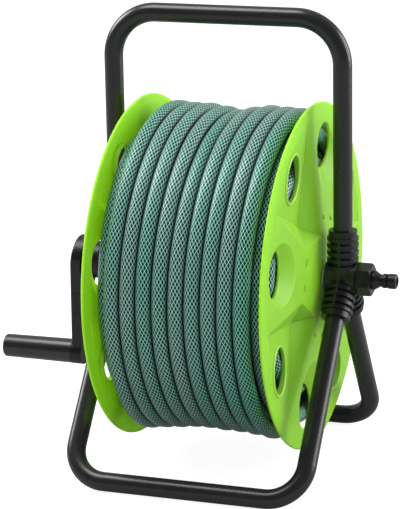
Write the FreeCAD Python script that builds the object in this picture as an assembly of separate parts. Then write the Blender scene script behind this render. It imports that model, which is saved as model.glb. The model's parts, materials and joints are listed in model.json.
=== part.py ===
import FreeCAD, Part
import math
import os
from FreeCAD import Vector

# Portable hose reel: a bent steel tube frame, two moulded brackets, a turning drum with its crank,
# and the hose wound on the drum. Millimetres. X runs along the reel axis with the water inlet at +X,
# Y points to the rear, Z is up, and the floor is Z = 0.

# Frame tubes
tube_d = 20.0
tube_wall = 1.2
post_x = 125.0
handle_top = 484.0
handle_bend = 48.0
leg_bend = 38.0
axle_h = 203.0
front_foot = 155.0
rear_foot = 124.0

# Brackets: three sockets round the axle
socket_len = 51.5
leg_socket_short = 4.5
socket_rib_d = 33.0
socket_stop = 19.0
collar_d = 29.6
collar_len = 7.0
groove_w = 3.4
groove_core_d = 26.0
groove_first = 15.0
groove_pitch = 7.6
groove_count = 4
spine_w = 2.6
spine_sink = 0.5
bracket_hub_d = 35.0
tube_fit = 0.1
screw_d = 3.4
screw_head_d = 7.0
screw_head_h = 2.2
screw_slot_w = 0.8
screw_boss_d = 9.0
screw_boss_rise = 1.2
screw_at = 31.5
screw_fit = 0.05

# Bearings and axles
axle_d = 20.0
axle_run = 0.05
bush_wall = 3.0
bush_fit = 0.05
bush_flange_d = 31.0
bush_flange_t = 1.2
bush_end_wall = 3.5
axle_hex = 34.0
axle_hex_t = 6.0
axle_hex_fit = 0.15
axle_bore_d = 13.0
clip_t = 1.2
clip_wall = 2.5
clip_groove = 1.0
clip_fit = 0.1

# Flanges
flange_r = 182.0
flange_gap = 30.0
flange_t = 2.6
rim_w = 5.0
rim_lap = 0.5
rim_depth = 2.8
rim_round = 1.3
cone_r = 158.0
hub_rise = 9.5
hub_r = 46.5
hub_turn = 14.7
arm_count = 4
valley_r = 164.0
valley_in_r = 70.0
valley_drop = 8.0
valley_half = 60.5
valley_near = (43.8, 15.6)
valley_far = (66.0, 27.0)
hole_circle = 137.0
hole_d = 48.0
collar_wall = 2.6
collar_in = 7.5
collar_round = 2.2
spot_sink = 2.0
spot_slope = 0.1
spot_lip = 1.0
spot_run = 1.7
spot_high = 15.0
axle_seat_d = 48.0
axle_seat_len = 11.0

# Barrel
barrel_d = 128.0
barrel_wall = 3.0
barrel_inset = 9.0
barrel_fit = 0.2
seat_wall = 4.2
seat_len = 6.0
hook_w = 8.0
hook_t = 2.4
hook_spread = 12.0
hook_fit = 0.15
hook_room = 1.0
hook_sink = 3.2

# Water way inside the barrel
elbow_inset = 25.0
chamber_d = 19.0
chamber_end = 12.0
elbow_wall = 3.5
elbow_len = 16.0
barb_d = 12.4
barb_bore_d = 9.0
barb_to = 46.0
tail_from = 24.0
tail_fit = 0.05
tail_short = 0.5
clamp_at = 32.0
clamp_len = 9.0
clamp_wall = 1.2

# Hose
hose_od = 16.5
hose_id = 12.5
hose_pitch = 17.1
winding_r = 173.0
winding_gap = 0.35
core_gap = 0.7
core_round = 6.0
stop_t = 3.0
stop_w = 11.0
stop_lap = 8.0
start_shift = 1.2
end_shift = 3.0
end_nut_d = 22.0
end_nut_len = 13.0
end_body_d = 20.5
end_body_len = 22.0
end_grip_d = 23.0
end_grip_len = 12.0
end_bore_d = 16.0
end_bore_depth = 17.0

# Inlet
spigot_d = 24.8
spigot_len = 8.5
spigot_bore_d = 18.0
nut_af = 30.0
nut_turn = 15.0
nut_gap = 0.2
nut_lip = 3.0
nut_fit = 0.1
nut_chamfer = 1.6
washer_t = 1.5
nipple_collar_d = 23.0
nipple_collar_t = 2.5
nipple_stem_d = 12.4
nipple_stem_end = 21.0
nipple_bore_d = 8.5
shoulder_d = 19.6
shoulder_to = 35.5
cone_to = 41.0
neck_d = 12.8
land_d = 15.2
land_w = 3.6
neck_w = 2.6
head_d = 15.8
nose_tip = 58.0
tip_chamfer = 1.2
ring_section = 1.6
ring_run = 0.05
ring_gap = 9.0

# Crank
square_af = 13.0
square_len = 17.5
square_fit = 0.1
thrust_t = 1.0
thrust_d = 32.0
thrust_bore_gap = 0.3
crank_gap = 0.3
crank_hub_d = 40.0
arm_hub_r = 26.0
arm_tip_r = 9.5
arm_boss_d = 27.0
arm_t = 12.0
arm_lean = 8.0
arm_wall = 3.0
arm_floor = 4.0
arm_edge = 2.5
arm_rib = 2.0
arm_ribs = (8.0, 34.0, 58.0, 80.0)
arm_line = 0.7
arm_line_depth = 0.5
arm_lines = (-4.0, 34.0, 58.0)
crank_throw = 106.0
crank_screw_d = 6.0
crank_screw_head_d = 12.0
crank_screw_head_h = 4.0
crank_screw_len = 16.0
crank_screw_end = 2.0

# Grip
grip_d = 26.5
grip_tip_d = 25.0
grip_len = 78.0
grip_gap = 0.5
grip_cap_t = 3.0
grip_cap_round = 2.2
grip_plug_d = 18.0
grip_plug_len = 4.0
grip_plug_fit = 0.05
grip_well = 6.0
pin_d = 10.0
pin_run = 0.05
pin_head_d = 15.0
pin_head_t = 1.0
pin_gap = 0.3
pin_fit = 0.05

# Places that follow from the sizes
tube_r = tube_d / 2
axis_point = Vector(0, 0, axle_h)
axis_x = Vector(1, 0, 0)
bracket_in = post_x - socket_rib_d / 2
bracket_out = post_x + socket_rib_d / 2
bush_r = axle_d / 2 + axle_run + bush_wall
bush_in = bracket_in - bush_flange_t
axle_end = bracket_out - bush_end_wall
flange_x = post_x - flange_gap
hub_x = flange_x + hub_rise
hub_under = hub_x - flange_t
spot_x = flange_x - spot_sink
barrel_r = barrel_d / 2
barrel_half = flange_x - barrel_inset
seat_from = barrel_half - seat_len
elbow_x = flange_x - elbow_inset
hose_r = winding_r - hose_od / 2
core_r = hose_r - hose_od / 2 - winding_gap
core_half = flange_x - valley_drop - flange_t - core_gap
hose_turns = int((2 * core_half - hose_od) / hose_pitch) + 1
first_turn_x = hose_pitch * (hose_turns - 1) / 2
crank_in = bracket_out + thrust_t + crank_gap
square_to = crank_in + square_len
arm_out = square_to + arm_t
grip_axis = Vector(0, 0, axle_h - crank_throw)
grip_in = arm_out + arm_lean + grip_gap
grip_end = grip_in + grip_len


def unit(vector):
    return Vector(vector).normalize()


def cylinder(radius, start, direction, length):
    return Part.makeCylinder(radius, length, start, direction)


def rod(radius, x0, x1, axis=axis_point):
    return cylinder(radius, Vector(x0, axis.y, axis.z), axis_x, x1 - x0)


def ring(outer, inner, x0, x1, axis=axis_point):
    return rod(outer, x0, x1, axis).cut(rod(inner, x0, x1, axis))


def prism_x(points, x0, x1):
    corners = [Vector(x0, y, z) for y, z in points]
    return Part.Face(Part.makePolygon(corners + corners[:1])).extrude(Vector(x1 - x0, 0, 0))


def polygon_x(across_flats, sides, x0, x1):
    reach = across_flats / 2 / math.cos(math.pi / sides)
    turns = [2 * math.pi * (i + 0.5) / sides for i in range(sides)]
    return prism_x([(reach * math.cos(a), axle_h + reach * math.sin(a)) for a in turns], x0, x1)


def revolve(profile, axis=axis_point):
    points = [Vector(x, axis.y, axis.z + r) for x, r in profile]
    face = Part.Face(Part.makePolygon(points + points[:1]))
    return face.revolve(axis, axis_x, 360)


def turned(shape, degrees):
    copy = shape.copy()
    copy.rotate(axis_point, axis_x, degrees)
    return copy


def mirrored(shape):
    return shape.mirror(Vector(0, 0, 0), axis_x)


def circles(shape, radius):
    closed = [edge for edge in shape.Edges if len(edge.Vertexes) == 1]
    return [edge for edge in closed if abs(edge.Curve.Radius - radius) < 0.01]


def save(name, *shapes):
    solids = [solid for shape in shapes for solid in shape.Solids]
    whole = solids[0] if len(solids) == 1 else Part.makeCompound(solids)
    whole.exportStep("parts/" + name + ".step")


# Frame tubes: straight runs joined by round bends

def rounded_path(points, radius):
    edges = []
    start = points[0]
    for corner, after in zip(points[1:-1], points[2:]):
        into = unit(corner - start)
        out = unit(after - corner)
        half = into.getAngle(out) / 2
        bend_in = corner - into * (radius * math.tan(half))
        bend_out = corner + out * (radius * math.tan(half))
        middle = corner + unit(out - into) * (radius / math.cos(half) - radius)
        edges.append(Part.LineSegment(start, bend_in).toShape())
        edges.append(Part.Arc(bend_in, middle, bend_out).toShape())
        start = bend_out
    edges.append(Part.LineSegment(start, points[-1]).toShape())
    return Part.Wire(edges)


def swept(path, start, direction, radius):
    profile = Part.Wire([Part.Circle(start, direction, radius).toShape()])
    return path.makePipeShell([profile], True, False)


def bent_tube(points, radius):
    path = rounded_path(points, radius)
    direction = unit(points[1] - points[0])
    outside = swept(path, points[0], direction, tube_r)
    inside = swept(path, points[0], direction, tube_r - tube_wall)
    return outside.cut(inside)


def socket_way(foot):
    return unit(Vector(0, foot, tube_r - axle_h))


up_way = Vector(0, 0, 1)
front_way = socket_way(-front_foot)
rear_way = socket_way(rear_foot)


def u_tube(way, bar_y, bar_z, radius):
    right = Vector(post_x, 0, axle_h) + way * socket_stop
    left = Vector(-post_x, 0, axle_h) + way * socket_stop
    return bent_tube([right, Vector(post_x, bar_y, bar_z), Vector(-post_x, bar_y, bar_z), left], radius)


handle_tube = u_tube(up_way, 0, handle_top - tube_r, handle_bend)
front_leg_tube = u_tube(front_way, -front_foot, tube_r, leg_bend)
rear_leg_tube = u_tube(rear_way, rear_foot, tube_r, leg_bend)


# Brackets: each socket is made along +Z at the origin and then set round the axle

def placed(shape, way):
    copy = shape.copy()
    copy.rotate(Vector(0, 0, 0), axis_x, math.degrees(math.atan2(-way.y, way.z)))
    copy.translate(Vector(post_x, 0, axle_h))
    return copy


screw_top = socket_rib_d / 2 + screw_boss_rise


def socket_body(screw_side, short):
    ribs_end = socket_len - short - collar_len
    body = Part.makeCylinder(socket_rib_d / 2, ribs_end)
    for i in range(groove_count):
        low = groove_first - short + groove_pitch * i
        groove = Part.makeCylinder(socket_rib_d / 2, groove_w, Vector(0, 0, low))
        core = Part.makeCylinder(groove_core_d / 2, groove_w, Vector(0, 0, low))
        body = body.cut(groove.cut(core))
    reach = socket_rib_d / 2 - spine_sink
    spine = Part.makeBox(spine_w, 2 * reach, ribs_end, Vector(-spine_w / 2, -reach, 0))
    collar = Part.makeCylinder(collar_d / 2, collar_len, Vector(0, 0, ribs_end))
    boss = Part.makeCylinder(screw_boss_d / 2, screw_top, Vector(0, 0, screw_at), Vector(0, screw_side, 0))
    return body.multiFuse([spine, collar, boss])


def socket_bore():
    return Part.makeCylinder(tube_r + tube_fit, socket_len, Vector(0, 0, socket_stop))


def screw_hole(screw_side):
    radius = screw_d / 2 + screw_fit
    return Part.makeCylinder(radius, screw_top, Vector(0, 0, screw_at), Vector(0, screw_side, 0))


def screw(screw_side):
    way = Vector(0, screw_side, 0)
    shank_from = tube_r - 2 * tube_wall
    shank_at = Vector(0, screw_side * shank_from, screw_at)
    shank = Part.makeCylinder(screw_d / 2, screw_top - shank_from, shank_at, way)
    head = Part.makeCylinder(screw_head_d / 2, screw_head_h, Vector(0, screw_side * screw_top, screw_at), way)
    slot_depth = screw_head_h / 2
    slot = Part.makeBox(screw_head_d, slot_depth, screw_slot_w)
    slot.translate(Vector(-screw_head_d / 2, -slot_depth / 2, screw_at - screw_slot_w / 2))
    slot.translate(Vector(0, screw_side * (screw_top + screw_head_h), 0))
    return shank.fuse(head).cut(slot)


# Each socket: its direction, the side that its screw is on, and how much shorter it is than the upper one
sockets = ((up_way, 1, 0.0), (front_way, -1, leg_socket_short), (rear_way, -1, leg_socket_short))


def bracket(bush_to, threaded):
    pieces = [rod(bracket_hub_d / 2, bracket_in, bracket_out)]
    pieces += [placed(socket_body(side, short), way) for way, side, short in sockets]
    if threaded:
        pieces.append(rod(spigot_d / 2, bracket_out, bracket_out + spigot_len))
    body = pieces[0].multiFuse(pieces[1:])
    bores = [placed(socket_bore(), way) for way, side, short in sockets]
    bores += [placed(screw_hole(side), way) for way, side, short in sockets]
    bores.append(rod(bush_r + bush_fit, bracket_in, bush_to))
    bores.append(rod(spigot_bore_d / 2, bracket_in, bracket_out + spigot_len))
    return body.cut(bores)


right_bracket = bracket(axle_end, True)
left_bracket = mirrored(bracket(bracket_out, False))
right_screws = [placed(screw(side), way) for way, side, short in sockets]
left_screws = [mirrored(piece) for piece in right_screws]

# The tubes are drilled for the screws
drills = [placed(screw_hole(side), way) for way, side, short in sockets]
drills += [mirrored(drill) for drill in drills]
handle_tube = handle_tube.cut(drills)
front_leg_tube = front_leg_tube.cut(drills)
rear_leg_tube = rear_leg_tube.cut(drills)


# Bearing bushes and axles

def bush(to_x):
    sleeve = rod(bush_r, bracket_in, to_x)
    lip = rod(bush_flange_d / 2, bush_in, bracket_in)
    return sleeve.fuse(lip).cut(rod(axle_d / 2 + axle_run, bush_in, to_x))


hex_in = hub_under - axle_hex_fit - axle_hex_t
clip_from = hub_x + clip_fit
clip_bed_r = axle_d / 2 - clip_groove


def axle_stem(to_x):
    stem = polygon_x(axle_hex, 6, hex_in, hex_in + axle_hex_t).fuse(rod(axle_d / 2, hex_in, to_x))
    return stem.cut(ring(axle_d / 2, clip_bed_r, clip_from, clip_from + clip_t + clip_fit))


def axle_clip():
    whole = ring(axle_d / 2 + clip_wall, clip_bed_r + clip_fit / 2, clip_from, clip_from + clip_t)
    gap = Part.makeBox(clip_t, 2 * clip_bed_r - clip_wall, axle_d)
    gap.translate(Vector(clip_from, -clip_bed_r + clip_wall / 2, axle_h - axle_d))
    return whole.cut(gap)


chamber_from = elbow_x - chamber_end
outlet_way = Vector(0, 1, 0)
outlet_from = Vector(elbow_x, 0, axle_h)

water_axle = axle_stem(axle_end - crank_gap).fuse(rod(chamber_d / 2, chamber_from, hex_in))
water_axle = water_axle.cut(rod(axle_bore_d / 2, chamber_from + elbow_wall, axle_end))
water_axle = water_axle.cut(cylinder(barb_bore_d / 2, outlet_from, outlet_way, chamber_d))

crank_axle = axle_stem(crank_in).fuse(polygon_x(square_af, 4, crank_in, square_to))
crank_axle = crank_axle.cut(rod(crank_screw_d / 2 + screw_fit, square_to - crank_screw_len, square_to))
crank_axle = mirrored(crank_axle)

# Water way from the axle to the hose
elbow = rod(chamber_d / 2 + tail_fit + elbow_wall, elbow_x - elbow_len / 2, elbow_x + elbow_len / 2)
elbow = elbow.fuse(cylinder(barb_d / 2, outlet_from, outlet_way, barb_to))
elbow = elbow.cut(rod(chamber_d / 2 + tail_fit, elbow_x - elbow_len, elbow_x + elbow_len))
outlet_elbow = elbow.cut(cylinder(barb_bore_d / 2, outlet_from, outlet_way, barb_to))
tail_start = outlet_from + outlet_way * tail_from
tail_len = barrel_r - tail_short - tail_from
hose_tail = cylinder(hose_od / 2, tail_start, outlet_way, tail_len)
hose_tail = hose_tail.cut(cylinder(hose_id / 2, tail_start, outlet_way, tail_len))
clamp_start = outlet_from + outlet_way * clamp_at
hose_clamp = cylinder(hose_od / 2 + tail_fit + clamp_wall, clamp_start, outlet_way, clamp_len)
hose_clamp = hose_clamp.cut(cylinder(hose_od / 2 + tail_fit, clamp_start, outlet_way, clamp_len))


# Flanges: a thin moulding. Its relief is cut into a thick body, and the same body moved in by the wall
# thickness is taken out of it again, so the inside follows the outside.

def flange_point(along, across, x):
    return Vector(x, -along, axle_h + across)


def above_plane(p, q, r):
    size = 4 * flange_r
    normal = unit((q - p).cross(r - p))
    if normal.x < 0:
        normal = normal * -1
    block = Part.makeBox(size, size, size, Vector(-size / 2, -size / 2, 0))
    block.Placement = FreeCAD.Placement(p, FreeCAD.Rotation(Vector(0, 0, 1), normal))
    return block


def cone_x(along, across):
    out = max(0.0, math.hypot(along, across) - hub_r)
    return hub_x - hub_rise * out / (cone_r - hub_r)


valley_low = flange_point(valley_in_r, 0, flange_x - valley_drop)
valley_floor = above_plane(valley_low, flange_point(valley_r, 0, flange_x), valley_low + Vector(0, 0, 1))


# The level arms are broad at the hub and the upright arms narrow, so a valley's two hub corners differ.
def valley_tool(near_side):
    floor_slope = valley_drop / (valley_r - valley_in_r)
    corner_a = math.sqrt(cone_r ** 2 - valley_half ** 2)
    corner_x = flange_x - floor_slope * (valley_r - corner_a)
    tool = valley_floor
    hub_corners = []
    for side, (along, across) in ((near_side, valley_near), (-near_side, valley_far)):
        rim_corner = flange_point(corner_a, side * valley_half, corner_x)
        hub_corner = flange_point(along, side * across, cone_x(along, across))
        tool = tool.common(above_plane(valley_low, rim_corner, hub_corner))
        hub_corners.append(hub_corner)
    tool = tool.common(above_plane(valley_low, *hub_corners))
    return tool.common(rod(valley_r, flange_x - 2 * valley_drop, hub_x + flange_t))


def collar():
    centre = flange_point(hole_circle, 0, flange_x - collar_in)
    lip = cylinder(hole_d / 2 + collar_wall, centre, axis_x, collar_in)
    lip = lip.cut([cylinder(hole_d / 2, centre, axis_x, collar_in), valley_floor])
    top = max(lip.Faces, key=lambda face: face.CenterOfMass.x)
    inner = min(top.Edges, key=lambda edge: edge.Length)
    return lip.makeFillet(collar_round, [inner])


def spot_tool():
    middle = flange_point(hole_circle, 0, spot_x)
    low_r = hole_d / 2 + spot_lip
    high_r = low_r + spot_run * spot_high
    return Part.makeCone(low_r, high_r, spot_high, middle, unit(Vector(1, spot_slope, 0)))


def flange():
    low_x = seat_from - flange_t
    web_r = flange_r - rim_w + rim_lap
    disc = rod(web_r, low_x, flange_x)
    dome = revolve([(low_x, 0), (low_x, cone_r), (flange_x, cone_r), (hub_x, hub_r), (hub_x, 0)])
    valleys = []
    for i in range(arm_count):
        valleys.append(turned(valley_tool((-1) ** i), -hub_turn - 180 / arm_count * (2 * i + 1)))
    spots = [turned(spot_tool(), -hub_turn - 360 / arm_count * i) for i in range(arm_count)]
    body = disc.fuse(dome).cut(valleys + spots)
    under = body.copy()
    under.translate(Vector(-flange_t, 0, 0))
    under_and_below = under.fuse(rod(web_r, low_x - 2 * flange_t, low_x + flange_t / 2))
    shell = body.cut(under_and_below)

    rim = ring(flange_r, flange_r - rim_w, flange_x - rim_depth, flange_x)
    rim = rim.makeFillet(rim_round, circles(rim, flange_r))
    seat_r = barrel_r - barrel_wall - barrel_fit
    seat = ring(seat_r, seat_r - seat_wall, seat_from, hub_x).common(body)
    axle_seat = rod(axle_seat_d / 2, hub_under - axle_seat_len, hub_under)
    parts = [rim, seat, axle_seat]
    holes = []
    for i in range(2 * arm_count):
        turn = -hub_turn - 180 / arm_count * i
        centre = flange_point(hole_circle, 0, 0)
        wall = collar_wall if i % 2 else 0.0
        holes.append(turned(cylinder(hole_d / 2 + wall, centre, axis_x, 2 * hub_x), turn))
        if i % 2:
            parts.append(turned(collar(), turn))
    solid = shell.cut(holes).multiFuse(parts)
    bore = rod(axle_d / 2 + clip_fit, hub_under - axle_seat_len, hub_x)
    socket = polygon_x(axle_hex + 2 * axle_hex_fit, 6, hub_under - axle_seat_len, hub_under)
    slots = [turned(hook_box(hook_fit, hook_room, hub_x), turn) for turn in hook_turns]
    return solid.cut([bore, socket] + slots).removeSplitter()


# Barrel: a tube that slips over the flanges' seats and snaps into slots in their arms

hook_turns = []
for arm_no in range(arm_count):
    hook_turns += [-hub_turn - 360 / arm_count * arm_no + side * hook_spread for side in (1, -1)]


def hook_box(fit, room, to_x):
    radial = hook_t + 2 * fit + 2 * room
    across = hook_w + 2 * fit
    mid_r = barrel_r - barrel_wall / 2
    corner = Vector(barrel_half - barrel_wall, -mid_r - radial / 2, axle_h - across / 2)
    return Part.makeBox(to_x - corner.x, radial, across, corner)


def barrel():
    tube = ring(barrel_r, barrel_r - barrel_wall, -barrel_half, barrel_half)
    hooks = [turned(hook_box(0, 0, hub_x - hook_sink), turn) for turn in hook_turns]
    hooks += [mirrored(hook) for hook in hooks]
    way_out = cylinder(hose_od / 2 + barrel_fit, outlet_from, outlet_way, barrel_d)
    return tube.multiFuse(hooks).cut(way_out).removeSplitter()


right_flange = flange()
left_flange = mirrored(right_flange)
drum_barrel = barrel()


# Hose: the lower layers are a plain core, the outer layer is one tube. Each turn lies flat over the front
# half of the drum and steps across by one pitch over the rear half.

def winding_point(degrees, x, radius):
    turn = math.radians(degrees)
    return Vector(x, -radius * math.cos(turn), axle_h + radius * math.sin(turn))


def winding_way(degrees, step):
    turn = math.radians(degrees)
    return unit(Vector(step, -hose_r * math.sin(turn), -hose_r * math.cos(turn)))


def arc_to(start, control, end):
    half_chord = (end - start).Length / 2
    tangent = (control - start).Length
    lean = math.acos(min(1.0, half_chord / tangent))
    rise = half_chord / math.sin(lean) * (1 - math.cos(lean))
    middle = (start + end) * 0.5
    return Part.Arc(start, middle + unit(control - middle) * rise, end).toShape()


def biarc(p0, t0, p1, t1):
    chord = p1 - p0
    both = t0 + t1
    square = both.dot(both) - 4
    linear = chord.dot(both)
    reach = (linear - math.sqrt(linear ** 2 - square * chord.dot(chord))) / square
    first = p0 + t0 * reach
    second = p1 - t1 * reach
    joint = (first + second) * 0.5
    return [arc_to(p0, first, joint), arc_to(joint, second, p1)]


# A turn's four knots, from the top of the drum down the front: angle, share of the pitch gone, axial step
turn_knots = ((90, 0.0, 0.0), (0, 0.0, 0.0), (-90, 0.0, 0.0), (-180, 0.5, -hose_pitch / 2))
winding = [(winding_point(180, first_turn_x + hose_pitch / 2 + start_shift, hose_r), winding_way(180, 0.0))]
for turn_no in range(hose_turns):
    for angle, share, step in turn_knots:
        x = first_turn_x - hose_pitch * (turn_no + share)
        winding.append((winding_point(angle, x, hose_r), winding_way(angle, step)))

# The free end climbs on to the layer at the rear
end_angle = turn_knots[-1][0]
end_point = winding_point(end_angle, -first_turn_x - end_shift, hose_r + hose_od + winding_gap)
winding[-1] = (end_point, winding_way(end_angle, 0.0))

winding_start = winding[0][0] - winding[0][1] * hose_od
winding_end = winding[-1][0] + winding[-1][1] * hose_od
path_edges = [Part.LineSegment(winding_start, winding[0][0]).toShape()]
for (p0, t0), (p1, t1) in zip(winding, winding[1:]):
    path_edges += biarc(p0, t0, p1, t1)
path_edges.append(Part.LineSegment(winding[-1][0], winding_end).toShape())
hose_path = Part.Wire(path_edges)
hose_outer_layer = swept(hose_path, winding_start, winding[0][1], hose_od / 2)
wanted = math.pi * hose_od ** 2 / 4 * hose_path.Length
print("outer layer length %.0f mm, volume %.4f of section times length"
      % (hose_path.Length, hose_outer_layer.Volume / wanted))

points_per_arc = 12
track = [point for edge in path_edges for point in edge.discretize(points_per_arc)[:-1]]
near = len(track) // (2 * hose_turns)
least = min((track[i] - track[j]).Length for i in range(len(track)) for j in range(i + near, len(track)))
print("least gap of the tube to itself %.2f mm" % (least - hose_od))

hose_core = ring(core_r, barrel_r + winding_gap, -core_half, core_half)
hose_core = hose_core.makeFillet(core_round, circles(hose_core, core_r))
stop_in = core_r - stop_lap
stop_corner = Vector(winding_start.x - stop_w / 2, stop_in, winding_start.z - stop_t)
stop_box = Part.makeBox(stop_w, hose_r + hose_od / 4 - stop_in, stop_t, stop_corner)
hose_inner_layers = hose_core.fuse(stop_box).removeSplitter()

# Connector on the free end of the hose, in line with its last straight run
end_way = winding[-1][1]


def on_end(radius, start, length):
    return cylinder(radius, winding_end + end_way * start, end_way, length)


hose_end_nut = on_end(end_nut_d / 2, 0, end_nut_len)
end_body = on_end(end_body_d / 2, end_nut_len, end_body_len)
end_body = end_body.fuse(on_end(end_grip_d / 2, end_nut_len + end_body_len - end_grip_len, end_grip_len))
bore_from = end_nut_len + end_body_len - end_bore_depth
hose_end_connector = end_body.cut(on_end(end_bore_d / 2, bore_from, end_bore_depth))


# Inlet on the right bracket: nut, nipple, washer and rings

spigot_end = bracket_out + spigot_len
washer_end = spigot_end + washer_t
collar_end = washer_end + nipple_collar_t
nut_from = bracket_out + nut_gap
nut_under = collar_end + nut_gap / 2
nut_end = nut_under + nut_lip
nut_reach = nut_af / math.sqrt(3)

inlet_nut = turned(polygon_x(nut_af, 6, nut_from, nut_end), -nut_turn)
nut_turning = revolve([(nut_from, 0), (nut_from, nut_reach), (nut_end - nut_chamfer, nut_reach),
                       (nut_end, nut_reach - nut_chamfer), (nut_end, 0)])
inlet_nut = inlet_nut.common(nut_turning)
inlet_nut = inlet_nut.cut([rod(spigot_d / 2 + nut_fit, nut_from, nut_under),
                           rod(shoulder_d / 2 + nut_fit, nut_from, nut_end)])
inlet_washer = ring(nipple_collar_d / 2, nipple_stem_d / 2 + nut_fit, spigot_end, washer_end)

nose_x = post_x + cone_to
land_x = nose_x + neck_w
head_x = land_x + land_w + neck_w
tip_x = post_x + nose_tip
stem_r = nipple_stem_d / 2
nipple_profile = [(axle_end - nipple_stem_end, 0), (axle_end - nipple_stem_end, stem_r), (washer_end, stem_r),
                  (washer_end, nipple_collar_d / 2), (collar_end, nipple_collar_d / 2),
                  (collar_end, shoulder_d / 2), (post_x + shoulder_to, shoulder_d / 2),
                  (nose_x, neck_d / 2), (land_x, neck_d / 2), (land_x, land_d / 2),
                  (land_x + land_w, land_d / 2),
                  (land_x + land_w, neck_d / 2), (head_x, neck_d / 2),
                  (head_x, head_d / 2), (tip_x - tip_chamfer, head_d / 2),
                  (tip_x, head_d / 2 - tip_chamfer), (tip_x, 0)]
inlet_nipple = revolve(nipple_profile)
seal_out_r = axle_bore_d / 2 - ring_run
seal_in_r = seal_out_r - ring_section
seal_places = [axle_end - nipple_stem_end + ring_gap * (i + 0.3) for i in range(2)]
nose_ring_x = head_x - (neck_w + ring_section) / 2
nose_ring_r = neck_d / 2 + ring_section / 2
seal_beds = [ring(axle_bore_d, seal_in_r, x, x + ring_section) for x in seal_places]
inlet_nipple = inlet_nipple.cut(seal_beds + [rod(nipple_bore_d / 2, axle_end - nipple_stem_end, tip_x)])
seals = [ring(seal_out_r, seal_in_r, x, x + ring_section) for x in seal_places]
seals.append(ring(nose_ring_r, neck_d / 2, nose_ring_x, nose_ring_x + ring_section))


# Crank: a ribbed arm that leans out towards its grip, made at +X and mirrored

def arm_outline(hub_radius, tip_radius, x0, x1):
    sine = (hub_radius - tip_radius) / crank_throw
    cosine = math.sqrt(1 - sine ** 2)

    def at(radius, y, z, base):
        return Vector(x0, radius * y, base + radius * z)

    tip_z = axle_h - crank_throw
    hub_right = at(hub_radius, cosine, -sine, axle_h)
    hub_left = at(hub_radius, -cosine, -sine, axle_h)
    tip_right = at(tip_radius, cosine, -sine, tip_z)
    tip_left = at(tip_radius, -cosine, -sine, tip_z)
    edges = [Part.Arc(hub_right, at(hub_radius, 0, 1, axle_h), hub_left).toShape(),
             Part.LineSegment(hub_left, tip_left).toShape(),
             Part.Arc(tip_left, at(tip_radius, 0, -1, tip_z), tip_right).toShape(),
             Part.LineSegment(tip_right, hub_right).toShape()]
    return Part.Face(Part.Wire(edges)).extrude(Vector(x1 - x0, 0, 0))


def arm_slab(inner, outer):
    top = arm_hub_r * 2
    low = -crank_throw - arm_hub_r * 2
    lean = arm_lean / crank_throw
    corners = [(inner, top), (outer, top), (outer, low), (inner, low)]
    points = [Vector(x - lean * z, -2 * arm_hub_r, axle_h + z) for x, z in corners]
    return Part.Face(Part.makePolygon(points + points[:1])).extrude(Vector(0, 4 * arm_hub_r, 0))


def crank():
    reach = arm_out + 3 * arm_lean
    plate = arm_outline(arm_hub_r, arm_tip_r, square_to - 3 * arm_lean, reach)
    plate = plate.common(arm_slab(square_to, arm_out))
    outer_face = max(plate.Faces, key=lambda face: face.CenterOfMass.x)
    plate = plate.makeFillet(arm_edge, outer_face.Edges)
    pocket = arm_outline(arm_hub_r - arm_wall, arm_tip_r - arm_wall, square_to - 3 * arm_lean, reach)
    pocket = pocket.common(arm_slab(square_to - arm_t, arm_out - arm_floor))
    keep = [rod(crank_hub_d / 2, square_to - arm_t, arm_out),
            rod(arm_boss_d / 2, square_to, arm_out + arm_lean, grip_axis)]
    for drop in arm_ribs:
        corner = Vector(square_to - arm_t, -arm_hub_r, axle_h - drop - arm_rib / 2)
        keep.append(Part.makeBox(3 * arm_t, 2 * arm_hub_r, arm_rib, corner))
    plate = plate.cut(pocket.cut(keep))
    low_x = square_to - 3 * arm_lean
    skin = arm_outline(arm_hub_r, arm_tip_r, low_x, reach)
    skin = skin.cut(arm_outline(arm_hub_r - arm_line_depth, arm_tip_r - arm_line_depth, low_x, reach))
    for drop in arm_lines:
        corner = Vector(square_to - arm_t, -2 * arm_hub_r, axle_h - drop - arm_line / 2)
        plate = plate.cut(skin.common(Part.makeBox(3 * arm_t, 4 * arm_hub_r, arm_line, corner)))
    hub = rod(crank_hub_d / 2, crank_in, square_to + arm_t / 2)
    boss = rod(arm_boss_d / 2, square_to + arm_lean, arm_out + arm_lean, grip_axis)
    body = plate.multiFuse([hub, boss])
    drive = polygon_x(square_af + 2 * square_fit, 4, crank_in, square_to + square_fit)
    head_from = arm_out - crank_screw_head_h
    screw_way = rod(crank_screw_d / 2 + screw_fit, crank_in, arm_out)
    head_way = rod(crank_screw_head_d / 2 + screw_fit, head_from, arm_out + arm_lean)
    pin_way = rod(pin_d / 2 + pin_fit, square_to, arm_out + 2 * arm_lean, grip_axis)
    grip_seat = rod(arm_boss_d / 2, arm_out + arm_lean, reach, grip_axis)
    return body.cut([drive, screw_way, head_way, pin_way, grip_seat])


head_from = arm_out - crank_screw_head_h
crank_arm = mirrored(crank())
crank_screw = rod(crank_screw_d / 2, square_to - crank_screw_len + crank_screw_end, head_from)
crank_screw = crank_screw.fuse(rod(crank_screw_head_d / 2, head_from, arm_out - crank_gap))
crank_screw = crank_screw.cut(polygon_x(crank_screw_d, 6, head_from + crank_screw_head_h / 3, arm_out))
crank_screw = mirrored(crank_screw)
thrust_washer = ring(thrust_d / 2, axle_d / 2 + thrust_bore_gap, bracket_out, bracket_out + thrust_t)
thrust_washer = mirrored(thrust_washer)


# Grip: a sleeve with an end cap, loose on its pin

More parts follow.
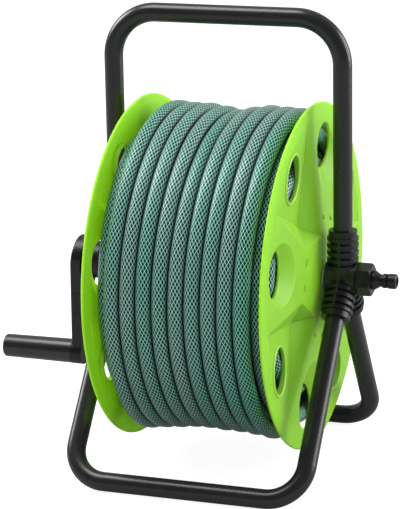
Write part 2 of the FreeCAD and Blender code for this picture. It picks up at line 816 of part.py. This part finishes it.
well_from = grip_end - grip_well
sleeve = revolve([(grip_in, 0), (grip_in, grip_d / 2), (grip_end, grip_tip_d / 2), (grip_end, 0)], grip_axis)
sleeve = sleeve.cut([rod(pin_d / 2 + pin_run, grip_in, grip_end, grip_axis),
                     rod(grip_plug_d / 2 + grip_plug_fit, well_from, grip_end, grip_axis)])
crank_grip = mirrored(sleeve)
cap = rod(grip_tip_d / 2, grip_end, grip_end + grip_cap_t, grip_axis)
cap_face = max(cap.Faces, key=lambda face: face.CenterOfMass.x)
cap = cap.makeFillet(grip_cap_round, cap_face.Edges)
grip_cap = mirrored(cap.fuse(rod(grip_plug_d / 2, grip_end - grip_plug_len, grip_end, grip_axis)))
pin = rod(pin_d / 2, square_to + arm_lean, well_from + pin_gap, grip_axis)
pin = pin.fuse(rod(pin_head_d / 2, well_from + pin_gap, well_from + pin_gap + pin_head_t, grip_axis))
grip_pin = mirrored(pin)

os.makedirs("parts", exist_ok=True)
save("handle_tube", handle_tube)
save("front_leg_tube", front_leg_tube)
save("rear_leg_tube", rear_leg_tube)
save("left_bracket", left_bracket)
save("right_bracket", right_bracket)
save("bracket_screws", *right_screws, *left_screws)
save("left_bush", mirrored(bush(bracket_out)))
save("right_bush", bush(axle_end))
save("inlet_nut", inlet_nut)
save("inlet_nipple", inlet_nipple)
save("inlet_washer", inlet_washer)
save("inlet_o_rings", *seals)
save("left_flange", left_flange)
save("right_flange", right_flange)
save("drum_barrel", drum_barrel)
save("water_axle", water_axle)
save("crank_axle", crank_axle)
save("axle_clips", axle_clip(), mirrored(axle_clip()))
save("outlet_elbow", outlet_elbow)
save("hose_tail", hose_tail)
save("hose_clamp", hose_clamp)
save("hose_inner_layers", hose_inner_layers)
save("hose_outer_layer", hose_outer_layer)
save("hose_end_connector", hose_end_connector)
save("hose_end_nut", hose_end_nut)
save("crank_arm", crank_arm)
save("crank_screw", crank_screw)
save("thrust_washer", thrust_washer)
save("grip_pin", grip_pin)
save("crank_grip", crank_grip)
save("grip_cap", grip_cap)
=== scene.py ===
import json
import math

import bpy
import numpy as np
from mathutils import Matrix, Vector


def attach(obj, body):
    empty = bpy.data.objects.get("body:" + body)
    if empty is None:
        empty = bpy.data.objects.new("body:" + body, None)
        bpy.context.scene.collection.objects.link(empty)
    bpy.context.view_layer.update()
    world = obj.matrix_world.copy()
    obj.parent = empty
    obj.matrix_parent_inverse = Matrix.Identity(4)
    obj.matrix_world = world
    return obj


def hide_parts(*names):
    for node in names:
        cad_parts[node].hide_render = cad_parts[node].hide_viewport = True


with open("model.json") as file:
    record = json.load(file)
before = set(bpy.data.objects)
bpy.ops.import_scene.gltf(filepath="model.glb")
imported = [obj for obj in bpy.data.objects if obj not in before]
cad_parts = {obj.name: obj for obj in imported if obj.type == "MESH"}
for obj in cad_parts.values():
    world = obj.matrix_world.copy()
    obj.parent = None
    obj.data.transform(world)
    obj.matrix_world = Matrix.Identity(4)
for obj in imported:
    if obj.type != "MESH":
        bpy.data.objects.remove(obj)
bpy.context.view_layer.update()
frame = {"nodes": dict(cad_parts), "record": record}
cadNodes = frame["nodes"]
mm = 0.001
axleHeight = 203 * mm
print("frame loaded:", len(cadNodes), "nodes")


# Camera, solved from the photograph's edges
photoCamera = {
    "place": (0.790022, -2.276412, 0.853483),
    "yaw": 19.87,
    "pitch": 14.741,
    "roll": -1.03,
    "focalPixels": 2359.48,
    "imageWidth": 400,
    "sensorWidth": 36.0,
    "clipEnd": 30.0,
}


def makeCamera(spec):
    data = bpy.data.cameras.new("photoCamera")
    data.sensor_fit = "HORIZONTAL"
    data.sensor_width = spec["sensorWidth"]
    data.lens = spec["focalPixels"] * spec["sensorWidth"] / spec["imageWidth"]
    data.clip_end = spec["clipEnd"]
    camera = bpy.data.objects.new("photoCamera", data)
    bpy.context.scene.collection.objects.link(camera)
    turn = Matrix.Rotation(math.radians(spec["yaw"]), 4, "Z")
    turn = turn @ Matrix.Rotation(math.radians(90 - spec["pitch"]), 4, "X")
    turn = turn @ Matrix.Rotation(math.radians(spec["roll"]), 4, "Z")
    camera.matrix_world = Matrix.Translation(spec["place"]) @ turn
    bpy.context.scene.camera = camera


makeCamera(photoCamera)
print("camera set")


# Node helpers

def srgb(code):
    channels = [int(code[i:i + 2], 16) / 255 for i in (1, 3, 5)]
    linear = [c / 12.92 if c <= 0.04045 else ((c + 0.055) / 1.055) ** 2.4 for c in channels]
    return (*linear, 1.0)


def addNode(tree, kind, settings=None, links=None):
    node = tree.nodes.new(kind)
    for key, value in (settings or {}).items():
        if isinstance(key, int) or key in node.inputs:
            node.inputs[key].default_value = value
        else:
            setattr(node, key, value)
    for key, source in (links or {}).items():
        tree.links.new(source, node.inputs[key])
    return node


def newMaterial(name):
    material = bpy.data.materials.new(name)
    material.use_nodes = True
    material.node_tree.nodes.clear()
    return material, material.node_tree


def finishMaterial(tree, settings, links):
    surface = addNode(tree, "ShaderNodeBsdfPrincipled", settings, links)
    addNode(tree, "ShaderNodeOutputMaterial", {}, {"Surface": surface.outputs[0]})


# Hose winding: seven layers on the barrel. The inner turns lie straight in front and step across behind,
# the outer ones are an even helix.
hose = {
    "diameter": 17 * mm,
    "pitch": 17.1 * mm,
    "spread": 0.16 * mm,      # added to the pitch of a ten-turn layer, once for each layer below it
    "layers": 7,
    "layerStep": 15.3 * mm,
    "outerRadius": 164.75 * mm,
    "fewTurns": 9,
    "manyTurns": 10,
    "quickCross": 1.7,      # a nine-turn layer ends by going across fast while it climbs
    "quickClimb": 1.6,      # a ten-turn layer ends by climbing fast
    "lateCross": 0.2,      # and goes across after this share of the way
    "pointsPerTurn": 24,
    "splineSteps": 3,
    "sides": 14,
    "startX": 72 * mm,
    "exit": (70 * mm, 64 * mm, axleHeight),
    "endX": -71.4 * mm,
    "endClimb": 16.85 * mm,
    "endRun": 16.5 * mm,
    "topLift": (2.8, 1.8, 2.5, 0.0, -4.0, -0.7, 1.8, 1.8, 3.0),      # mm, right to left, as the crests rise
    "lowLift": (0.3, -2.2, -3.7, -4.0, -5.0, -4.5, -2.3, -0.3, 2.0),
}


def smooth(share):
    share = min(1.0, max(0.0, share))
    return (1 - math.cos(math.pi * share)) / 2


def drumPoint(spec, angle, x, radius):
    swell = 1 / math.cos(math.pi / spec["pointsPerTurn"])      # the spline runs inside its control points
    turn = math.radians(angle)
    return Vector((x, -radius * swell * math.cos(turn), axleHeight + radius * swell * math.sin(turn)))


def layerPlan(spec):
    plan = []
    for layer in range(spec["layers"]):
        few = layer % 2 == 0
        turns = spec["fewTurns"] if few else spec["manyTurns"]
        pitch = spec["pitch"] if few else spec["pitch"] + layer * spec["spread"]
        way = -1 if few else 1      # laid to the left, then back to the right
        firstX = -way * pitch * (turns - 1) / 2
        plan.append({"few": few, "turns": turns, "step": way * pitch, "firstX": firstX, "entryX": firstX,
                     "radius": spec["outerRadius"] - (spec["layers"] - 1 - layer) * spec["layerStep"]})
    outer = plan[-1]
    outer.update(helix=True, entryX=outer["firstX"] - outer["step"] / 4)
    return plan


def outerLift(spec, angle, turn):
    height = math.sin(math.radians(angle))
    after = min(turn + (angle < -180), spec["fewTurns"] - 1)
    lift = spec["topLift"][after] if height > 0 else spec["lowLift"][turn]
    return lift * mm * height * height


def layerPoint(spec, layer, following, turn, angle):
    behind = max(0.0, (-90 - angle) / 180)      # share of the way up the back
    last = turn == layer["turns"] - 1
    x = layer["firstX"] + layer["step"] * turn
    radius = layer["radius"]
    if "helix" in layer:
        x -= layer["step"] * angle / 360      # level with the inner turns in front
        radius += outerLift(spec, angle, turn)
        if last:      # the free end climbs on to the layer and stands up behind
            climb = smooth(2 * behind)
            x += (spec["endX"] - x) * climb
            radius += spec["endClimb"] * climb
    elif last:
        across = spec["quickCross"] * behind
        rise = behind
        if not layer["few"]:
            across = (behind - spec["lateCross"]) / (1 - spec["lateCross"])
            rise = spec["quickClimb"] * behind
        x += (following["entryX"] - x) * smooth(across)
        radius += spec["layerStep"] * smooth(rise)
    else:
        x += layer["step"] * smooth(behind)
    return drumPoint(spec, angle, x, radius)


def windingPoints(spec):
    steps = spec["pointsPerTurn"]
    quarter = steps // 4
    plan = layerPlan(spec)
    points = []
    for step in range(quarter):      # from the outlet up to the first turn
        share = step / quarter
        x = spec["startX"] + (plan[0]["entryX"] - spec["startX"]) * smooth(share)
        points.append(drumPoint(spec, 180 - 90 * share, x, plan[0]["radius"]))
    for layer, following in zip(plan, plan[1:] + [None]):
        angles = [90 - 360 * step / steps for step in range(steps * layer["turns"])]
        if following is None:
            angles = angles[:1 - quarter]      # ends level with the axle
        for index, angle in enumerate(angles):
            turn = index // steps
            points.append(layerPoint(spec, layer, following, turn, angle + 360 * turn))
    end = points[-1].copy()
    end.y = spec["outerRadius"] + spec["endClimb"]
    points[-1].y = end.y
    end.z = axleHeight + spec["endRun"]
    points.append(end)
    return points


def readSpline(points, steps):
    data = bpy.data.curves.new("hoseRoute", "CURVE")
    data.dimensions = "3D"
    data.resolution_u = steps
    spline = data.splines.new("NURBS")
    spline.points.add(len(points) - 1)
    for slotPoint, point in zip(spline.points, points):
        slotPoint.co = (*point, 1)
    spline.order_u = 3
    spline.use_endpoint_u = True
    route = bpy.data.objects.new("hoseRoute", data)
    bpy.context.scene.collection.objects.link(route)
    mesh = bpy.data.meshes.new_from_object(route)
    line = np.array([vertex.co[:] for vertex in mesh.vertices])
    bpy.data.meshes.remove(mesh)
    bpy.data.objects.remove(route)
    bpy.data.curves.remove(data)
    return line


def ringVerts(line, radius, sides):
    tangents = np.gradient(line, axis=0)
    tangents /= np.linalg.norm(tangents, axis=1)[:, None]
    axle = np.array((1.0, 0.0, 0.0))      # each ring starts from it, so that the tube doesn't twist
    across = axle - tangents * (tangents @ axle)[:, None]
    across /= np.linalg.norm(across, axis=1)[:, None]
    outward = np.cross(tangents, across)
    turns = np.arange(sides) * 2 * np.pi / sides
    ringX = np.cos(turns)[None, :, None] * across[:, None, :]
    ringY = np.sin(turns)[None, :, None] * outward[:, None, :]
    return (line[:, None, :] + radius * (ringX + ringY)).reshape(-1, 3)


def mapTube(mesh, gone, sides):      # u goes once round the hose, v is in metres along it
    side = np.arange(sides)[None, :]
    u = np.stack([side, side + 1, side + 1, side], 2) / sides
    v = np.stack([gone[:-1], gone[:-1], gone[1:], gone[1:]], 1)[:, None, :]
    shape = (len(gone) - 1, sides, 4)
    count = math.prod(shape)
    values = np.zeros((len(mesh.loops), 2))
    values[:count, 0] = np.broadcast_to(u, shape).reshape(-1)
    values[:count, 1] = np.broadcast_to(v, shape).reshape(-1)
    mesh.uv_layers.new(name="UVMap").data.foreach_set("uv", values.reshape(-1))


def tubeMesh(name, line, radius, sides):
    rings = len(line)
    low = np.arange(rings - 1)[:, None] * sides
    side = np.arange(sides)[None, :]
    after = (side + 1) % sides
    quads = np.stack([low + side, low + after, low + sides + after, low + sides + side], 2).reshape(-1, 4)
    caps = [list(range(sides))[::-1], list(range((rings - 1) * sides, rings * sides))]
    mesh = bpy.data.meshes.new(name)
    mesh.from_pydata(ringVerts(line, radius, sides).tolist(), [], quads.tolist() + caps)
    gone = np.concatenate([[0], np.cumsum(np.linalg.norm(np.diff(line, axis=0), axis=1))])
    mapTube(mesh, gone, sides)
    mesh.polygons.foreach_set("use_smooth", [True] * len(quads) + [False] * len(caps))
    mesh.update()
    return mesh, float(gone[-1])


# Braided PVC, extruded: a clear green cover over a pale yarn net on a dark tube, so thin light threads
# with deep green cells
braid = {
    "cell": "#00241b",
    "cellLight": "#00382c",
    "yarn": "#97f4da",
    "yarnGrey": "#c8f4e9",
    "yarnsAround": 14,
    "cellLength": 6.7 * mm,      # along the hose between crossings of the same pair of yarns
    "twist": 930 * mm,      # the net goes once round the hose, twisted as it was wound on
    "yarnWidth": 0.13,      # half of a yarn, as a share of the spacing
    "yarnEdge": 0.09,
    "yarnCover": 0.7,      # of a single yarn, so that the crossings are the lightest
    "yarnHeight": 0.4 * mm,
    "relief": 0.4,
    "patch": 420 * mm,      # length over which the net's colour drifts
    "patchDetail": 2.0,
    "patchEnds": (0.35, 0.65),      # of the drift, where the yarn is all green and all grey
    "gloss": 0.36,
    "mirrorTint": "#c0fff2",
    "roughness": (0.36, 0.24),      # in the cells and on the yarn
    "coat": 0.15,
    "coatRoughness": 0.22,
    "contact": 4 * mm,      # reach of the painted shade between turns, where the colour is darkened
    "contactSamples": 6,
    "ior": 1.53,
}


def braidedPvc(spec):
    material, tree = newMaterial("braidedPvc")
    place = addNode(tree, "ShaderNodeUVMap", {"uv_map": "UVMap"})
    parts = addNode(tree, "ShaderNodeSeparateXYZ", {}, {0: place.outputs[0]})
    twisted = addNode(tree, "ShaderNodeMath", {"operation": "MULTIPLY_ADD", 1: 1 / spec["twist"]},
                      {0: parts.outputs[1], 2: parts.outputs[0]})
    around = addNode(tree, "ShaderNodeMath", {"operation": "MULTIPLY", 1: spec["yarnsAround"]},
                     {0: twisted.outputs[0]})
    along = addNode(tree, "ShaderNodeMath", {"operation": "DIVIDE", 1: spec["cellLength"]},
                    {0: parts.outputs[1]})
    yarns = []
    for operation in ("ADD", "SUBTRACT"):      # one set of yarns goes round each way
        phase = addNode(tree, "ShaderNodeMath", {"operation": operation},
                        {0: around.outputs[0], 1: along.outputs[0]})
        ridge = addNode(tree, "ShaderNodeMath", {"operation": "PINGPONG", 1: 0.5}, {0: phase.outputs[0]})
        yarns.append(addNode(tree, "ShaderNodeMapRange",
                             {"interpolation_type": "SMOOTHSTEP", "To Min": 1.0, "To Max": 0.0,
                              "From Min": spec["yarnWidth"] - spec["yarnEdge"],
                              "From Max": spec["yarnWidth"]},
                             {"Value": ridge.outputs[0]}))
    both = addNode(tree, "ShaderNodeMath", {"operation": "ADD"},
                   {0: yarns[0].outputs[0], 1: yarns[1].outputs[0]})
    net = addNode(tree, "ShaderNodeMath",
                  {"operation": "MULTIPLY", "use_clamp": True, 1: spec["yarnCover"]},
                  {0: both.outputs[0]})
    drift = addNode(tree, "ShaderNodeTexNoise",
                    {"noise_dimensions": "1D", "Scale": 1 / spec["patch"], "Detail": spec["patchDetail"]},
                    {"W": parts.outputs[1]})
    share = addNode(tree, "ShaderNodeMapRange",
                    {"From Min": spec["patchEnds"][0], "From Max": spec["patchEnds"][1]},
                    {"Value": drift.outputs[0]})
    cell = addNode(tree, "ShaderNodeMix",
                   {"data_type": "RGBA", 6: srgb(spec["cell"]), 7: srgb(spec["cellLight"])},
                   {0: drift.outputs[0]})
    yarn = addNode(tree, "ShaderNodeMix",
                   {"data_type": "RGBA", 6: srgb(spec["yarn"]), 7: srgb(spec["yarnGrey"])},
                   {0: share.outputs[0]})
    colour = addNode(tree, "ShaderNodeMix", {"data_type": "RGBA"},
                     {0: net.outputs[0], 6: cell.outputs[2], 7: yarn.outputs[2]})
    # Painted shade: ambient occlusion darkens the hose's colour in the valleys between the turns
    paintedContactShade = addNode(tree, "ShaderNodeAmbientOcclusion",
                   {"samples": spec["contactSamples"], "Distance": spec["contact"]},
                   {"Color": colour.outputs[2]})
    roughness = addNode(tree, "ShaderNodeMapRange",
                        {"To Min": spec["roughness"][0], "To Max": spec["roughness"][1]},
                        {"Value": net.outputs[0]})
    bump = addNode(tree, "ShaderNodeBump", {"Strength": spec["relief"], "Distance": spec["yarnHeight"]},
                   {"Height": net.outputs[0]})
    finishMaterial(tree,
                   {"Specular IOR Level": spec["gloss"], "Specular Tint": srgb(spec["mirrorTint"]),
                    "IOR": spec["ior"], "Coat Weight": spec["coat"],
                    "Coat Roughness": spec["coatRoughness"]},
                   {"Base Color": paintedContactShade.outputs[0], "Roughness": roughness.outputs[0],
                    "Normal": bump.outputs[0]})
    return material


hoseLine = readSpline(windingPoints(hose), hose["splineSteps"])
hoseMesh, hoseLength = tubeMesh("woundHose", hoseLine, hose["diameter"] / 2, hose["sides"])
hoseMesh.materials.append(braidedPvc(braid))
woundHose = bpy.data.objects.new("woundHose", hoseMesh)
bpy.context.scene.collection.objects.link(woundHose)
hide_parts("hose_inner_layers", "hose_outer_layer")
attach(woundHose, "drum")
print("hose wound: %.2f m, %d rings" % (hoseLength, len(hoseLine)))


# Finishes of the CAD parts. Each is a base colour with a soft mottle and a bump from the way it was made.
# All but the greens also have edges that catch the light as if slightly rounded.
finishes = {
    "green_moulding": {      # polypropylene from a polished mould: waxy gloss, faint flow marks, inner glow
        "name": "mouldedPolypropylene", "colour": "#88c829", "shade": "#84c526", "roughness": 0.46,
        "ior": 1.49, "gloss": 0.35, "mottle": 45 * mm, "grain": 1.6 * mm, "bump": 0.03,
        "glow": 1.0, "depth": 10 * mm, "spreads": (1.12, 1.0, 0.5)},
    "green_lip": {      # the same polypropylene in a thin bead, too thin for the light to travel in it; its colour is a lighter copy of the moulding's green, a painted highlight for the light caught by the bead's rounded top
        "name": "polypropyleneBeadPaintedHighlight", "colour": "#a0da4c", "shade": "#9cd648", "roughness": 0.4, "ior": 1.49,
        "gloss": 0.5, "mottle": 45 * mm, "grain": 1.6 * mm, "bump": 0.03},
    "black_tube": {      # steel tube, powder coated: satin with a fine orange peel
        "name": "powderCoatedSteel", "colour": "#232324", "shade": "#1f1f20", "roughness": 0.26, "ior": 1.5,
        "gloss": 0.5, "mottle": 30 * mm, "grain": 1.1 * mm, "bump": 0.05, "edge": 0.3 * mm},
    "black_moulding": {      # glass-filled polyamide with a spark-eroded grain: dull, with grey edges
        "name": "mouldedPolyamide", "colour": "#171718", "shade": "#131314", "roughness": 0.34, "ior": 1.52,
        "gloss": 0.42, "mottle": 20 * mm, "grain": 0.7 * mm, "bump": 0.1, "edge": 0.6 * mm},
    "axle_plastic": {      # filled polyamide, as moulded: dull black
        "name": "axlePolyamide", "colour": "#101011", "shade": "#0c0c0d", "roughness": 0.45, "ior": 1.52,
        "gloss": 0.22, "mottle": 15 * mm, "grain": 0.8 * mm, "bump": 0.08, "edge": 0.5 * mm},
    "bearing_plastic": {      # natural acetal, turned smooth: milky white
        "name": "naturalAcetal", "colour": "#e2dfd3", "shade": "#d8d5c8", "roughness": 0.35, "ior": 1.48,
        "gloss": 0.5, "mottle": 10 * mm, "grain": 0.6 * mm, "bump": 0.04, "edge": 0.3 * mm},
    "zinc_steel": {      # zinc plated steel with a bluish passivate
        "name": "zincPlatedSteel", "colour": "#c4c8cc", "shade": "#b2b6bb", "roughness": 0.34,
        "metallic": 1.0, "gloss": 0.5, "mottle": 4 * mm, "grain": 0.3 * mm, "bump": 0.06, "edge": 0.2 * mm},
    "soft_grip": {      # thermoplastic elastomer over the sleeve: grey black, wide soft highlight
        "name": "gripElastomer", "colour": "#1c1c1d", "shade": "#181819", "roughness": 0.33, "ior": 1.5,
        "gloss": 0.8, "mottle": 18 * mm, "grain": 0.6 * mm, "bump": 0.05, "edge": 0.8 * mm},
    "black_steel": {      # blackened steel pin: dark, with a dull sheen
        "name": "blackenedSteel", "colour": "#1b1b1d", "shade": "#161617", "roughness": 0.4, "ior": 1.5,
        "gloss": 0.3, "mottle": 5 * mm, "grain": 0.3 * mm, "bump": 0.05, "edge": 0.2 * mm},
    "seal_rubber": {      # nitrile rubber, moulded: matt black
        "name": "nitrileRubber", "colour": "#151515", "shade": "#101010", "roughness": 0.62, "ior": 1.52,
        "gloss": 0.3, "mottle": 6 * mm, "grain": 0.4 * mm, "bump": 0.1, "edge": 0.2 * mm},
}

# What all these finishes share
sharedFinish = {
    "mottleDetail": 4.0,
    "grainDetail": 2.0,
    "grainHeight": 0.2 * mm,
    "roughnessDrift": 0.05,      # either way, with the mottle
    "edgeSamples": 6,
}

# Shader sockets of the values that not every finish has
ownSockets = {
    "metallic": "Metallic",
    "ior": "IOR",
    "glow": "Subsurface Weight",
    "depth": "Subsurface Scale",
    "spreads": "Subsurface Radius",
}

# Nodes whose finish differs from the rest of their slot
ownFinish = {"crank_grip": "soft_grip", "grip_cap": "soft_grip", "grip_pin": "black_steel"}


def solidFinish(spec):
    material, tree = newMaterial(spec["name"])
    spot = addNode(tree, "ShaderNodeTexCoord")
    mottle = addNode(tree, "ShaderNodeTexNoise",
                     {"Scale": 1 / spec["mottle"], "Detail": sharedFinish["mottleDetail"]},
                     {"Vector": spot.outputs["Object"]})
    colour = addNode(tree, "ShaderNodeMix",
                     {"data_type": "RGBA", 6: srgb(spec["shade"]), 7: srgb(spec["colour"])},
                     {0: mottle.outputs[0]})
    roughness = addNode(tree, "ShaderNodeMapRange",
                        {"To Min": spec["roughness"] - sharedFinish["roughnessDrift"],
                         "To Max": spec["roughness"] + sharedFinish["roughnessDrift"]},
                        {"Value": mottle.outputs[0]})
    grain = addNode(tree, "ShaderNodeTexNoise",
                    {"Scale": 1 / spec["grain"], "Detail": sharedFinish["grainDetail"]},
                    {"Vector": spot.outputs["Object"]})
    bump = addNode(tree, "ShaderNodeBump",
                   {"Strength": spec["bump"], "Distance": sharedFinish["grainHeight"]},
                   {"Height": grain.outputs[0]})
    if "edge" in spec:
        edge = addNode(tree, "ShaderNodeBevel",
                       {"samples": sharedFinish["edgeSamples"], "Radius": spec["edge"]})
        tree.links.new(edge.outputs[0], bump.inputs["Normal"])
    settings = {socket: spec[key] for key, socket in ownSockets.items() if key in spec}
    settings["Specular IOR Level"] = spec["gloss"]
    finishMaterial(tree, settings, {"Base Color": colour.outputs[2], "Roughness": roughness.outputs[0],
                                    "Normal": bump.outputs[0]})
    return material


def dressNodes():
    made = {name: solidFinish(spec) for name, spec in finishes.items()}
    for part in frame["record"]["subparts"]:
        finish = ownFinish.get(part["node"], part["material_slot"])
        if finish in made:
            for materialSlot in cadNodes[part["node"]].material_slots:
                materialSlot.material = made[finish]
    return made


# Bead round the holes that lie in the flanges' valleys, on the sloping floor of the valley
holeBead = {
    "faceX": 95 * mm,
    "holes": 4,      # in each flange
    "holeCircle": 137 * mm,
    "radius": 25.4 * mm,
    "thickness": 3.2 * mm,
    "floorEnd": 164 * mm,      # from the axle to where the valley floor meets the face
    "floorSlope": 8 / 94,
    "firstTurn": -59.7,
    "stepTurn": -90,
    "points": 72,
    "roundness": 3,
}


def beadPoint(spec, side, turn, angle):
    along = spec["holeCircle"] + spec["radius"] * math.cos(angle)
    across = spec["radius"] * math.sin(angle)
    x = spec["faceX"] - spec["floorSlope"] * (spec["floorEnd"] - along)
    y = -along * math.cos(turn) - across * math.sin(turn)
    z = -along * math.sin(turn) + across * math.cos(turn)
    return (side * x, y, axleHeight + z, 1)


def beadHoles(spec, material):
    data = bpy.data.curves.new("holeBeads", "CURVE")
    data.dimensions = "3D"
    data.bevel_depth = spec["thickness"] / 2
    data.bevel_resolution = spec["roundness"]
    for side in (1, -1):
        for step in range(spec["holes"]):
            turn = math.radians(spec["firstTurn"] + spec["stepTurn"] * step)
            spline = data.splines.new("POLY")
            spline.points.add(spec["points"] - 1)
            for index, point in enumerate(spline.points):
                point.co = beadPoint(spec, side, turn, 2 * math.pi * index / spec["points"])
            spline.use_cyclic_u = True
    curve = bpy.data.objects.new("holeBeadCurves", data)
    bpy.context.scene.collection.objects.link(curve)
    mesh = bpy.data.meshes.new_from_object(curve)
    bpy.data.objects.remove(curve)
    bpy.data.curves.remove(data)
    mesh.name = "holeBeads"
    mesh.polygons.foreach_set("use_smooth", [True] * len(mesh.polygons))
    mesh.materials.clear()
    mesh.materials.append(material)
    beads = bpy.data.objects.new("holeBeads", mesh)
    bpy.context.scene.collection.objects.link(beads)
    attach(beads, "drum")


materials = dressNodes()
# The beads take the lighter copy of the green, a painted highlight
beadHoles(holeBead, materials["green_lip"])
for materialSlot in cadNodes["hose_tail"].material_slots:
    materialSlot.material = hoseMesh.materials[0]
print("finishes set")


# Studio: pale floor, white surround whose mirror image is dimmer in front of the object than behind it,
# broad soft lamps on the right, on the left and overhead, and a weak one in front that gloss doesn't show
studio = {
    "floorSize": 16.0,
    "floorColour": "#909090",
    "floorRoughness": 0.9,
    "floorGloss": 0.1,
    "floorGlow": 0.9,
    "floorMirror": 0.08,
    "diffuseLight": 0.86,
    "mirrorLight": (0.03, 0.5),      # seen in gloss, before the object and behind it
    "mirrorTurn": (-0.4, 0.6),      # y of the directions between which that changes
    "lamps": (
        {"name": "rightLamp", "place": (2.7, 1.4, 1.2), "aim": (0, 0, 0.22), "size": 2.6, "watts": 80},
        {"name": "leftLamp", "place": (-2.7, 0.2, 1.7), "aim": (0, 0, 0.22), "size": 1.6, "watts": 66},
        {"name": "topLamp", "place": (-0.85, -0.3, 2.6), "aim": (0, 0, 0.25), "size": 1.4, "watts": 36},
        {"name": "frontLamp", "place": (2.2, -3.4, 1.2), "aim": (0, 0, 0.22), "size": 1.8, "watts": 24,
         "mirrored": False},
    ),
}


def makeFloor(spec):
    half = spec["floorSize"] / 2
    corners = [(-half, -half, 0), (half, -half, 0), (half, half, 0), (-half, half, 0)]
    mesh = bpy.data.meshes.new("studioFloor")
    mesh.from_pydata(corners, [], [(0, 1, 2, 3)])
    floor = bpy.data.objects.new("studioFloor", mesh)
    bpy.context.scene.collection.objects.link(floor)
    material, tree = newMaterial("paleFloor")
    ray = addNode(tree, "ShaderNodeLightPath")
    seen = addNode(tree, "ShaderNodeMath", {"operation": "MAXIMUM"},
                   {0: ray.outputs["Is Camera Ray"], 1: ray.outputs["Is Transmission Ray"]})
    mirror = addNode(tree, "ShaderNodeMath", {"operation": "MULTIPLY", 1: spec["floorMirror"]},
                     {0: ray.outputs["Is Glossy Ray"]})
    glow = addNode(tree, "ShaderNodeMath", {"operation": "MULTIPLY_ADD", 1: spec["floorGlow"]},
                   {0: seen.outputs[0], 2: mirror.outputs[0]})
    finishMaterial(tree,
                   {"Base Color": srgb(spec["floorColour"]), "Roughness": spec["floorRoughness"],
                    "Specular IOR Level": spec["floorGloss"], "Emission Color": (1, 1, 1, 1)},
                   {"Emission Strength": glow.outputs[0]})
    mesh.materials.append(material)


def makeWorld(spec):
    world = bpy.data.worlds.new("studioWorld")
    bpy.context.scene.world = world
    world.use_nodes = True
    tree = world.node_tree
    tree.nodes.clear()
    ray = addNode(tree, "ShaderNodeLightPath")
    way = addNode(tree, "ShaderNodeTexCoord")
    parts = addNode(tree, "ShaderNodeSeparateXYZ", {}, {0: way.outputs["Generated"]})
    mirror = addNode(tree, "ShaderNodeMapRange",
                     {"From Min": spec["mirrorTurn"][0], "From Max": spec["mirrorTurn"][1],
                      "To Min": spec["mirrorLight"][0], "To Max": spec["mirrorLight"][1]},
                     {"Value": parts.outputs[1]})
    plain = addNode(tree, "ShaderNodeMix", {"data_type": "FLOAT", 2: spec["diffuseLight"]},
                    {0: ray.outputs["Is Glossy Ray"], 3: mirror.outputs[0]})
    backdrop = addNode(tree, "ShaderNodeMath", {"operation": "MAXIMUM"},
                       {0: ray.outputs["Is Camera Ray"], 1: ray.outputs["Is Transmission Ray"]})
    level = addNode(tree, "ShaderNodeMath", {"operation": "MAXIMUM"},
                    {0: plain.outputs[0], 1: backdrop.outputs[0]})
    back = addNode(tree, "ShaderNodeBackground", {"Color": (1, 1, 1, 1)}, {"Strength": level.outputs[0]})
    addNode(tree, "ShaderNodeOutputWorld", {}, {"Surface": back.outputs[0]})


def makeLamps(spec):
    for lamp in spec["lamps"]:
        data = bpy.data.lights.new(lamp["name"], "AREA")
        data.shape = "DISK"
        data.size = lamp["size"]
        data.energy = lamp["watts"]
        light = bpy.data.objects.new(lamp["name"], data)
        light.location = lamp["place"]
        aim = Vector(lamp["aim"]) - Vector(lamp["place"])
        light.rotation_euler = aim.to_track_quat("-Z", "Y").to_euler()
        light.visible_glossy = lamp.get("mirrored", True)
        bpy.context.scene.collection.objects.link(light)


makeFloor(studio)
makeWorld(studio)
makeLamps(studio)
bpy.context.scene.view_settings.view_transform = "Standard"
print("studio set")
